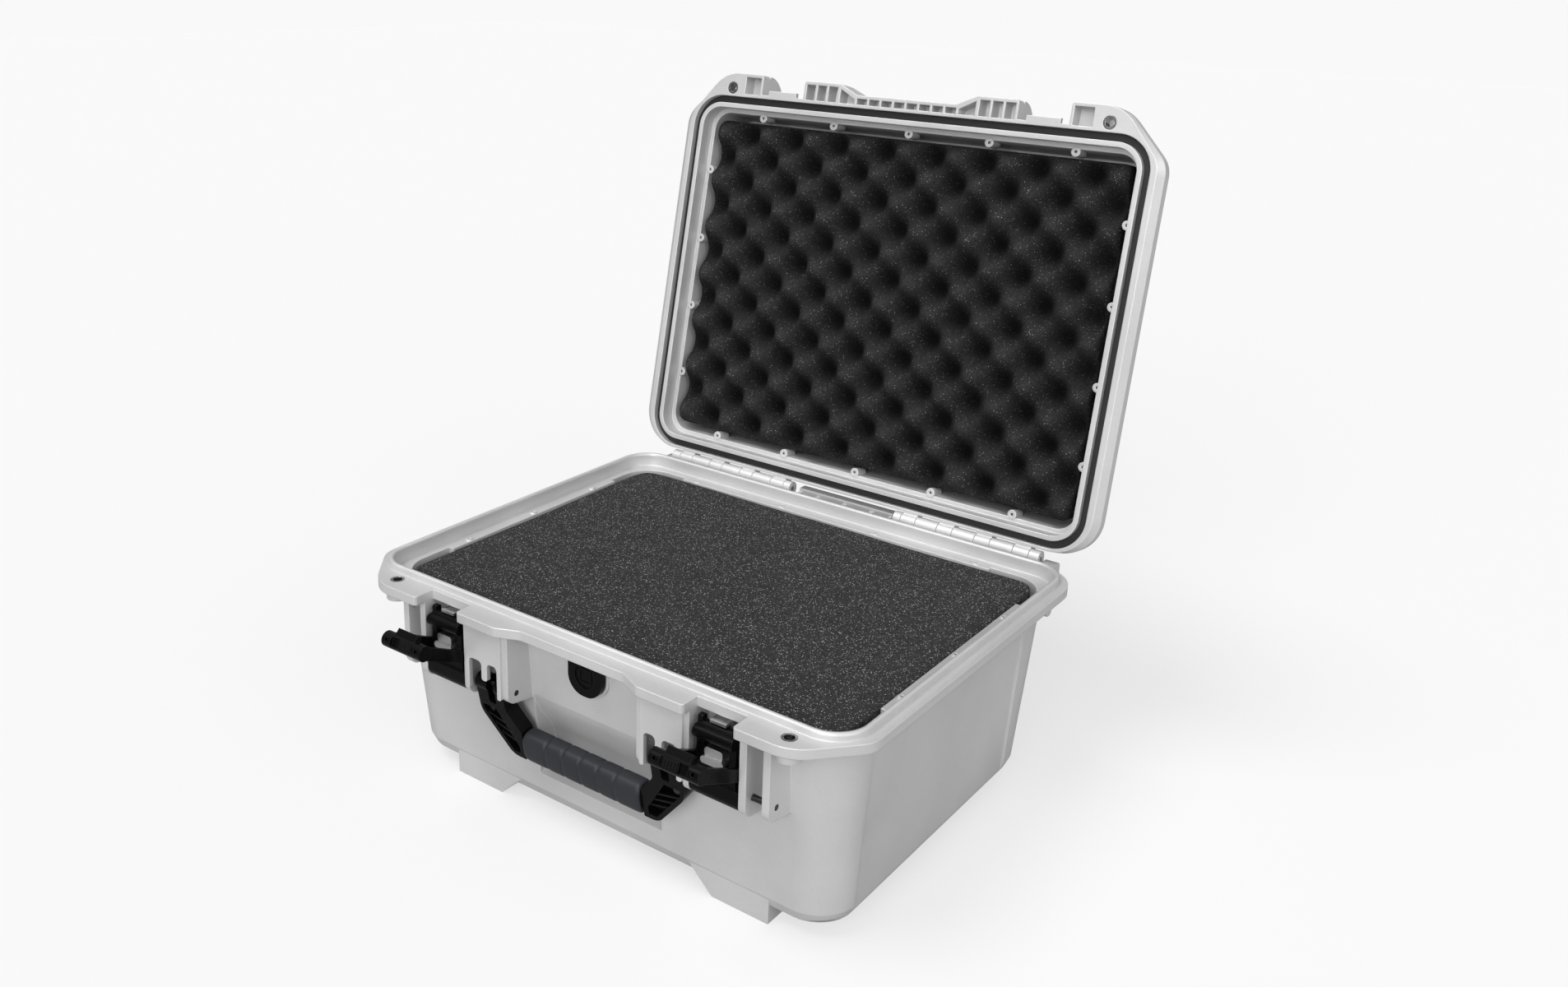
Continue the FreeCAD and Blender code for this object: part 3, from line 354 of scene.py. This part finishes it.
def slab(name, top, bottom, slot, steps=4, painted_shade=None):
    """A closed block between two grids of the same size, joined round their edges by rows of quads.

    Row k of the side is the edge of the top moved by k parts towards the edge of the bottom. Painted shade, given
    as tones, belongs to the bottom; the top has tone 1, and the sides take a darker painted shade."""
    rows, columns = top.shape[:2]
    count = rows * columns
    edge = border(rows, columns)
    share = np.arange(1, steps).reshape(-1, 1, 1) / steps
    flat_top, flat_bottom = top.reshape(-1, 3), bottom.reshape(-1, 3)
    sides = (flat_top[edge] * (1 - share) + flat_bottom[edge] * share).reshape(-1, 3)
    ring = len(edge)
    levels = [edge] + [2 * count + k * ring + np.arange(ring) for k in range(steps - 1)] + [count + edge]
    walls = [
        np.stack([upper, lower, np.roll(lower, -1), np.roll(upper, -1)], -1)
        for upper, lower in zip(levels, levels[1:])
    ]
    faces = np.concatenate([grid_faces(rows, columns), grid_faces(rows, columns, count)[:, ::-1]] + walls)
    under = np.ones(count) if painted_shade is None else painted_shade.reshape(-1)
    # Painted shade: the sides of the block are darker than the edge of its bottom
    painted_shade_by_point = np.concatenate([np.ones(count), under, np.tile(under[edge] * SIDE_PAINTED_SHADE, steps - 1)])
    return put_mesh(name, np.concatenate([flat_top, flat_bottom, sides]), faces, slot, painted_shade=painted_shade_by_point)


def rounded_plan(rows, columns, half_long, half_wide, radius):
    """X and Y of a grid over a rectangle whose corners are rounded: in each corner square a point moves
    along its ray from the arc's centre by its larger offset over its distance."""
    across = np.linspace(-half_long, half_long, rows)
    along = np.linspace(-half_wide, half_wide, columns)
    x, y = np.meshgrid(across, along, indexing="ij")
    dx, dy = np.abs(x) - (half_long - radius), np.abs(y) - (half_wide - radius)
    inside = (dx > 0) & (dy > 0)
    scale = np.where(inside, np.maximum(dx, dy) / np.maximum(np.hypot(dx, dy), LEAST), 1.0)
    x = np.where(inside, np.sign(x) * (half_long - radius + dx * scale), x)
    y = np.where(inside, np.sign(y) * (half_wide - radius + dy * scale), y)
    return x, y


def raised(x, y, middle, height):
    """Points over a plan whose middle in Y is given, at one height or at a height for each."""
    return np.stack(np.broadcast_arrays(x, y + middle, height), -1)


def open_lid(points):
    """Turns points drawn with the lid shut to where they are with the lid open."""
    spin = np.array(Matrix.Rotation(-LID_OPEN, 3, "X"))
    hinge = np.array(HINGE)
    return (points - hinge) @ spin.T + hinge


# Foam

LID_FOAM_LONG, LID_FOAM_WIDE, LID_FOAM_CORNER = 216 * MM, 156 * MM, 6 * MM
LID_FOAM_BACK = CREST + 50 * MM
WAVE_LONG, WAVE_WIDE = 52 * MM, 48 * MM
WAVE_MIDDLE, WAVE_SWING = CREST + 15 * MM, 12.5 * MM
# Fullness of the crests, loss of depth in the pits at both ends and how far in it reaches
CREST_FULL, END_LOSS, END_REACH = 0.12, 0.5, 8 * MM
LID_SWAY = 0.6 * MM

BASE_FOAM_CORNER, BASE_PAD_CORNER = 22 * MM, 29 * MM
# How far the edge of the base foam sinks, how far in that reaches, its dents, and room above them
DROOP, DROOP_REACH, BASE_SWAY, SWAY_ROOM = 1.4 * MM, 5 * MM, 0.25 * MM, 0.5 * MM


def lid_foam_piece():
    """Egg-crate foam: height is a middle level less a cosine along X times a cosine along Y, its crests
    rounder than its pits, its pits less deep at both ends, with a slow unevenness as of cut foam."""
    x, y = rounded_plan(241, 181, LID_FOAM_LONG, LID_FOAM_WIDE, LID_FOAM_CORNER)
    wave = np.cos(2 * np.pi * x / WAVE_LONG) * np.cos(2 * np.pi * y / WAVE_WIDE)
    wave = wave + CREST_FULL * (1 - wave ** 2)
    near_end = np.exp(-(LID_FOAM_LONG - np.abs(x)) / END_REACH)
    wave = np.where(wave < 0, wave * (1 - END_LOSS * near_end), wave)
    sway = LID_SWAY * np.sin(31 * x + 17 * y) * np.cos(23 * y - 11 * x)
    face = raised(x, y, MIDDLE_Y, WAVE_MIDDLE - WAVE_SWING * wave + sway)
    back = raised(x, y, MIDDLE_Y, LID_FOAM_BACK)
    # Painted shade: the tone of the face falls from the crests to the pits
    painted_shade = np.clip(0.5 + 0.5 * wave, 0, 1)
    piece = slab("lid_egg_crate_foam", open_lid(back), open_lid(face), "lid_foam", painted_shade=painted_shade)
    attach(piece, "lid")
    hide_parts("lid_foam")


def base_foam_piece():
    """Upper foam block: a nearly level top that sinks a little towards its edge, with soft dents."""
    low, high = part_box("base_foam")
    half_long, half_wide = (high.x - low.x) / 2, (high.y - low.y) / 2
    middle = (high.y + low.y) / 2
    x, y = rounded_plan(181, 141, half_long, half_wide, BASE_FOAM_CORNER)
    edge = np.minimum(half_long - np.abs(x), half_wide - np.abs(y))
    droop = DROOP * np.exp(-edge / DROOP_REACH)
    sway = BASE_SWAY * (np.sin(37 * x + 5 * y) + np.cos(29 * y - 13 * x))
    top = raised(x, y, middle, high.z - SWAY_ROOM - droop + sway)
    piece = slab("base_foam_block", top, raised(x, y, middle, low.z), "base_foam")
    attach(piece, "base")
    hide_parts("base_foam")


def base_pad_piece():
    """Lower foam pad: a plain block with rounded corners."""
    low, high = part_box("base_foam_pad")
    half_long, half_wide = (high.x - low.x) / 2, (high.y - low.y) / 2
    middle = (high.y + low.y) / 2
    x, y = rounded_plan(121, 91, half_long, half_wide, BASE_PAD_CORNER)
    top, bottom = raised(x, y, middle, high.z), raised(x, y, middle, low.z)
    piece = slab("base_foam_under_pad", top, bottom, "base_foam")
    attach(piece, "base")
    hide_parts("base_foam_pad")


# Handle grip and valve face

GRIP_TILT = math.radians(10.76)
# Half depth, half height and squareness of the grip and of its bore
GRIP_SECTION = (9.5 * MM, 14 * MM, 2.7)
BORE_SECTION = (5.7 * MM, 8.2 * MM, 6)
FINGER_LINES = 18 * MM * np.arange(-2, 3)
GROOVE_WIDTH, GROOVE_SINK = 1.5 * MM, 0.05
END_WIDTH, END_SINK = 1.2 * MM, 0.12
MARK_HALF, MARK_WIDTH, MARK_RISE = 5.5 * MM, 1.3 * MM, 0.6 * MM


def grip_profile(turn, half_deep, half_tall, power):
    """Depth and height round a rounded box: cosine and sine, each to two over the power, keeping its
    sign."""
    deep, tall = np.cos(turn), np.sin(turn)
    deep = half_deep * np.sign(deep) * np.abs(deep) ** (2 / power)
    tall = half_tall * np.sign(tall) * np.abs(tall) ** (2 / power)
    return deep, tall


def grip_piece():
    """Soft grip: a rounded box swept along X, sunk by a bell-shaped groove at each finger line and
    rounded at its ends, and a plain bore inside it that clears the core."""
    low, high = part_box("handle_grip")
    half = (high.x - low.x) / 2
    along = np.linspace(-half, half, 261)
    turn = np.linspace(0, 2 * np.pi, 97)[:-1]
    grooves = np.exp(-((along[:, None] - FINGER_LINES) / GROOVE_WIDTH) ** 2).sum(1)
    ends = np.exp(-(half - np.abs(along)) / END_WIDTH)
    size = (1 - GROOVE_SINK * grooves - END_SINK * ends)[:, None]
    deep, tall = grip_profile(turn, *GRIP_SECTION)
    outer = np.stack(np.broadcast_arrays(along[:, None], size * deep, size * tall), -1)
    deep, tall = grip_profile(turn, *BORE_SECTION)
    bore = np.stack(np.broadcast_arrays(along[::-20, None], deep, tall), -1)
    points = np.concatenate([outer, bore])
    spin = np.array(Matrix.Rotation(GRIP_TILT, 3, "X"))
    middle = np.array((low + high) / 2)
    rows, columns = points.shape[:2]
    index = np.arange(rows * columns).reshape(rows, columns)
    ahead, beside = np.roll(index, -1, 0), np.roll(index, -1, 1)
    faces = np.stack([index, beside, np.roll(ahead, -1, 1), ahead], -1).reshape(-1, 4)
    piece = put_mesh("ribbed_grip", points @ spin.T + middle, faces, "grip_rubber")
    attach(piece, "handle")
    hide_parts("handle_grip")


def valve_marks_piece():
    """A raised square outline on the face of the valve: four plain bars, one along each side."""
    low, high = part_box("valve_vent")
    face, middle = low.y, (low.z + high.z) / 2
    half, thin = MARK_HALF, MARK_WIDTH / 2
    bars = [(0, half, half, thin), (0, -half, half, thin), (half, 0, thin, half), (-half, 0, thin, half)]
    corner = np.array([(x, y, z) for x in (-1, 1) for y in (-1, 0) for z in (-1, 1)], float)
    sides = np.array([(0, 1, 3, 2), (4, 6, 7, 5), (0, 4, 5, 1), (2, 3, 7, 6), (0, 2, 6, 4), (1, 5, 7, 3)])
    points = [corner * (wide, MARK_RISE, tall) + (x, face, middle + z) for x, z, wide, tall in bars]
    faces = [sides + len(corner) * count for count in range(len(bars))]
    piece = put_mesh("valve_marks", np.concatenate(points), np.concatenate(faces), "black_plastic", False)
    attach(piece, "base")


def dress_nodes():
    """Each CAD node takes the material of its slot in the record."""
    for row in frame["record"]["subparts"]:
        node = nodes[row["node"]]
        node.data.materials.clear()
        node.data.materials.append(MATERIALS[row["material_slot"]])


# Stage: lamps are far and even, so an open stretch of floor shows as bright as the backdrop

BACKDROP = 0.945
FLOOR_HALF = 9.0
FLOOR_TONE, FLOOR_SEEN, FLOOR_GLOW = 0.42, 0.32, 0.61
# Heights between which the mirrored room brightens, and shares of the soft light from left and right
ROOM_SPAN = (0.15, 0.75)
LEFT_SHARE, RIGHT_SHARE = 0.15, 1.85


def pale_floor():
    """Floor that takes the shadow of the case and shows nearly white to the camera."""
    material = bpy.data.materials.new("pale_floor")
    material.use_nodes = True
    shade = Shade(material.node_tree)
    seen = shade.add("LightPath").outputs["Is Camera Ray"]
    tone = shade.mix(seen, grey(FLOOR_TONE), grey(FLOOR_SEEN))
    paint = shade.feed(shade.add("BsdfDiffuse"), Color=tone)
    glow = shade.feed(shade.add("Emission"), Strength=shade.math("MULTIPLY", seen, FLOOR_GLOW))
    both = shade.add("AddShader")
    shade.link(paint.outputs[0], both.inputs[0])
    shade.link(glow.outputs[0], both.inputs[1])
    shade.link(both.outputs[0], shade.add("OutputMaterial").inputs["Surface"])
    corners = np.array([(-1, -1, 0), (1, -1, 0), (1, 1, 0), (-1, 1, 0)]) * FLOOR_HALF
    mesh = bpy.data.meshes.new("floor")
    mesh.from_pydata(corners.tolist(), [], [(0, 1, 2, 3)])
    mesh.materials.append(material)
    floor = bpy.data.objects.new("floor", mesh)
    bpy.context.scene.collection.objects.link(floor)


def white_world(strength, horizon, zenith):
    """Soft light, stronger from the right, on matte surfaces; in reflections a room that brightens
    overhead; to the camera plain white."""
    world = bpy.data.worlds.new("white_world")
    bpy.context.scene.world = world
    world.use_nodes = True
    shade = Shade(world.node_tree)
    path = shade.add("LightPath")
    way = shade.add("SeparateXYZ")
    shade.link(shade.add("TexCoord").outputs["Generated"], way.inputs[0])
    room = shade.stretch(way.outputs["Z"], *ROOM_SPAN, horizon, zenith)
    soft = shade.stretch(way.outputs["X"], -1.0, 1.0, LEFT_SHARE * strength, RIGHT_SHARE * strength)
    mirrored = shade.math("MULTIPLY", path.outputs["Is Glossy Ray"], shade.math("SUBTRACT", room, soft))
    light = shade.feed(shade.add("Background"), Strength=shade.math("ADD", mirrored, soft))
    backdrop = shade.feed(shade.add("Background"), Color=grey(BACKDROP))
    choose = shade.add("MixShader")
    shade.link(path.outputs["Is Camera Ray"], choose.inputs[0])
    shade.link(light.outputs[0], choose.inputs[1])
    shade.link(backdrop.outputs[0], choose.inputs[2])
    shade.link(choose.outputs[0], shade.add("OutputWorld").inputs["Surface"])


def soft_sun(name, source, width, power):
    """A far lamp so wide, in degrees, that its shadows are soft; source points from the case to the lamp."""
    lamp = bpy.data.lights.new(name, "SUN")
    lamp.angle = math.radians(width)
    lamp.energy = power
    sun = bpy.data.objects.new(name, lamp)
    sun.rotation_euler = Vector(source).to_track_quat("Z", "Y").to_euler()
    bpy.context.scene.collection.objects.link(sun)


def place_camera():
    """Camera at the photograph's view: above the front right corner, looking down and to the left."""
    look_down, look_left, lean = 17.41, 36.37, 1.335
    lens = bpy.data.cameras.new("camera")
    lens.sensor_fit = "HORIZONTAL"
    lens.sensor_width = 36
    lens.lens = 32.59
    lens.shift_x = 0.0373
    lens.shift_y = -0.0646
    camera = bpy.data.objects.new("camera", lens)
    camera.location = (0.65644, -0.93412, 0.68977)
    aim = Euler((math.radians(90 - look_down), 0, math.radians(look_left))).to_matrix()
    roll = Matrix.Rotation(math.radians(lean), 3, "Z")
    camera.rotation_euler = (aim @ roll).to_euler()
    bpy.context.scene.collection.objects.link(camera)
    bpy.context.scene.camera = camera


dress_nodes()
lid_foam_piece()
base_foam_piece()
base_pad_piece()
grip_piece()
valve_marks_piece()
pale_floor()
white_world(strength=0.45, horizon=0.1, zenith=0.9)
soft_sun("key_sun", source=(-0.3, -0.4, 1.0), width=30, power=1.45)
soft_sun("front_sun", source=(0.2, -1.0, 0.4), width=40, power=1.7)
soft_sun("side_sun", source=(1.0, -0.3, 0.5), width=40, power=0.7)
place_camera()
bpy.context.scene.view_settings.view_transform = "Standard"
